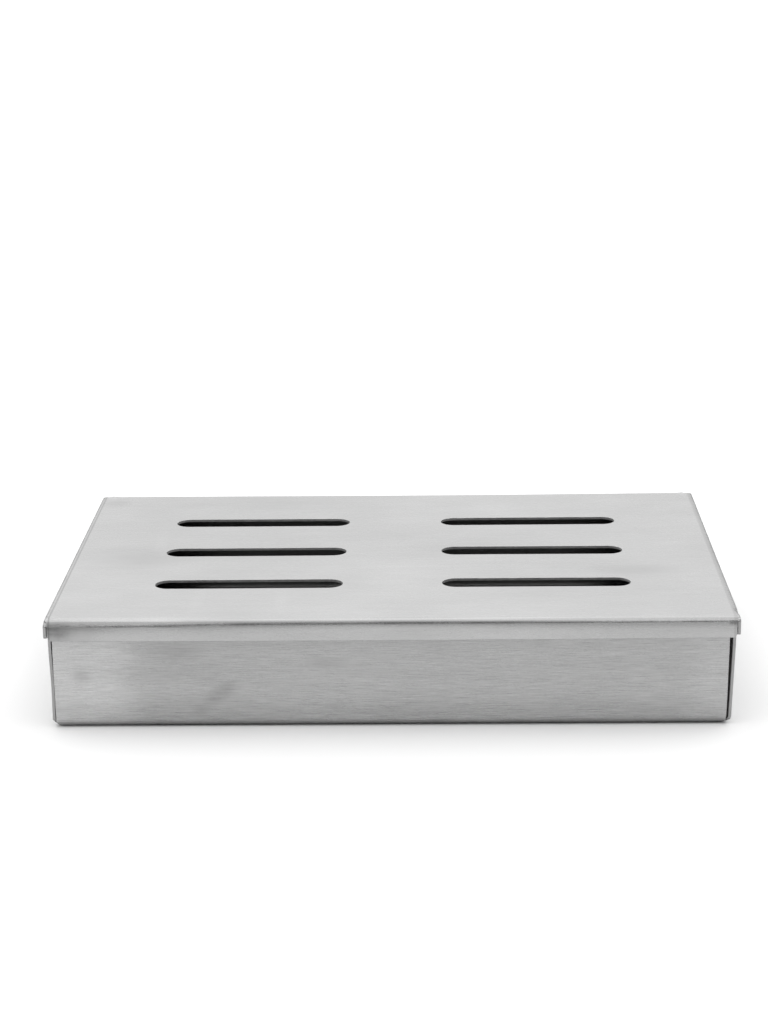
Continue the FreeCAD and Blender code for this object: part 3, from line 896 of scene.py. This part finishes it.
# painted shade: the tray's inner faces get a darker metal than its outside, for the shade inside the closed box
inside_painted_shade_mat = brushed(
    "tray_inside_painted_shade", (0.27, 0.27, 0.27), 0.34, 0.75, 0.30, 0.22, 0.12, 0.15, seed=8.1)
edge_mat = cut_edge("sheared_edge", (0.33, 0.33, 0.33), 0.42)
slot_mat = cut_edge("punched_edge", (0.56, 0.56, 0.56), 0.62)
rivet_mat = plain_steel("rivet_tumbled", (0.50, 0.50, 0.50), 0.30)
washer_mat = plain_steel("washer_stamped", (0.42, 0.42, 0.42), 0.38)

lid = make_lid()
lid.data.materials.append(lid_mat)
lid.data.materials.append(edge_mat)
lid.data.materials.append(slot_mat)
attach(lid, "lid_body")
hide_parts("lid")

tray = make_tray()
tray.data.materials.append(tray_mat)
tray.data.materials.append(edge_mat)
tray.data.materials.append(inside_painted_shade_mat)
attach(tray, "tray_body")
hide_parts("tray")

for node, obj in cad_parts.items():
    if node.startswith("pivot_rivet"):
        obj.data.materials.clear()
        obj.data.materials.append(rivet_mat)
    elif "washer" in node:
        obj.data.materials.clear()
        obj.data.materials.append(washer_mat)

# ------------------------------------------------------- floor and light --
floor_mesh = bpy.data.meshes.new("floor")
R = 6.0
floor_mesh.from_pydata([(-R, -R, 0), (R, -R, 0), (R, R, 0), (-R, R, 0)], [], [(0, 1, 2, 3)])
floor = bpy.data.objects.new("floor", floor_mesh)
scene.collection.objects.link(floor)
fm, fnt, fb = nodes_of("floor_pale")
fb.inputs["Base Color"].default_value = (0.86, 0.86, 0.86, 1)
fb.inputs["Roughness"].default_value = 0.9
fb.inputs["Specular IOR Level"].default_value = 0.1
floor.data.materials.append(fm)

# Brightness of the studio around the box: a pale backdrop behind, a broad soft
# source overhead and to the front, and the dark end of the room low in front.
# Rows are directions round the horizon, from straight in front (0 degrees) to
# straight behind (180), the same on both sides; columns are heights above it.
SKY_ROUND = (0, 14, 40, 90, 180)
SKY_UP = (0, 10, 22, 40, 65, 90)
SKY = (
    (0.00, 0.00, 0.13, 0.89, 2.10, 1.45),
    (0.00, 0.00, 0.13, 0.89, 2.10, 1.45),
    (0.00, 0.28, 0.60, 1.00, 1.48, 1.45),
    (0.00, 0.35, 1.00, 1.80, 2.40, 1.45),
    (0.00, 0.95, 1.72, 1.50, 1.45, 1.45),
)
world = bpy.data.worlds.new("studio")
scene.world = world
world.use_nodes = True
wnt = world.node_tree
bg = wnt.nodes["Background"]
geo = wnt.nodes.new("ShaderNodeTexCoord")
sep = wnt.nodes.new("ShaderNodeSeparateXYZ")
wnt.links.new(geo.outputs["Generated"], sep.inputs[0])
up_ = math_node(wnt, "MULTIPLY", math_node(wnt, "ARCSINE", sep.outputs["Z"]), 2.0 / math.pi, clamp=True)
round_ = math_node(wnt, "ABSOLUTE", math_node(wnt, "ARCTAN2", sep.outputs["X"], math_node(wnt, "MULTIPLY", sep.outputs["Y"], -1.0)))
round_ = math_node(wnt, "MULTIPLY", round_, 180.0 / math.pi)
level = None
for k, row in enumerate(SKY):
    ramp = wnt.nodes.new("ShaderNodeValToRGB")
    ramp.color_ramp.interpolation = "LINEAR"
    els = ramp.color_ramp.elements
    els[0].position, els[1].position = 0.0, 1.0
    for height in SKY_UP[1:-1]:
        els.new(height / 90.0)
    for e, val in zip(sorted(els, key=lambda el: el.position), row):
        e.color = (val / 4, val / 4, val / 4, 1)
    wnt.links.new(up_, ramp.inputs[0])
    if level is None:
        level = ramp.outputs[0]
    else:
        mix = wnt.nodes.new("ShaderNodeMixRGB")
        wnt.links.new(remap(wnt, round_, SKY_ROUND[k - 1], SKY_ROUND[k], 0.0, 1.0), mix.inputs[0])
        wnt.links.new(level, mix.inputs[1])
        wnt.links.new(ramp.outputs[0], mix.inputs[2])
        level = mix.outputs[0]
bg.inputs["Strength"].default_value = 4.0
wnt.links.new(level, bg.inputs["Color"])
# the picture's own background is the plain pale backdrop
backdrop = wnt.nodes.new("ShaderNodeBackground")
backdrop.inputs["Color"].default_value = (1.0, 1.0, 1.0, 1.0)
seen = wnt.nodes.new("ShaderNodeLightPath")
choose = wnt.nodes.new("ShaderNodeMixShader")
wnt.links.new(seen.outputs["Is Camera Ray"], choose.inputs[0])
wnt.links.new(bg.outputs[0], choose.inputs[1])
wnt.links.new(backdrop.outputs[0], choose.inputs[2])
wnt.links.new(choose.outputs[0], wnt.nodes["World Output"].inputs["Surface"])

# ----------------------------------------------------------------- camera --
F_PX = 2327.55
yaw, pitch, roll = -0.0219528, 0.2839704, -0.0133200
pos = Vector((0.0129349, -0.7301764, 0.2617125))
fwd = Vector((math.sin(yaw) * math.cos(pitch), math.cos(yaw) * math.cos(pitch), -math.sin(pitch)))
right = Vector((math.cos(yaw), -math.sin(yaw), 0))
up = right.cross(fwd)
r2 = right * math.cos(roll) + up * math.sin(roll)
u2 = -right * math.sin(roll) + up * math.cos(roll)
cam_data = bpy.data.cameras.new("camera")
cam_data.sensor_fit = "AUTO"
cam_data.sensor_width = 36.0
cam_data.lens = 36.0 * F_PX / 1024.0
cam_data.clip_start = 0.01
cam = bpy.data.objects.new("camera", cam_data)
m = Matrix.Identity(4)
for i in range(3):
    m[i][0], m[i][1], m[i][2], m[i][3] = r2[i], u2[i], -fwd[i], pos[i]
cam.matrix_world = m
scene.collection.objects.link(cam)
scene.camera = cam

scene.view_settings.view_transform = "Standard"
scene.view_settings.look = "None"
scene.view_settings.exposure = 0.0
scene.view_settings.gamma = 1.0

bpy.context.view_layer.update()
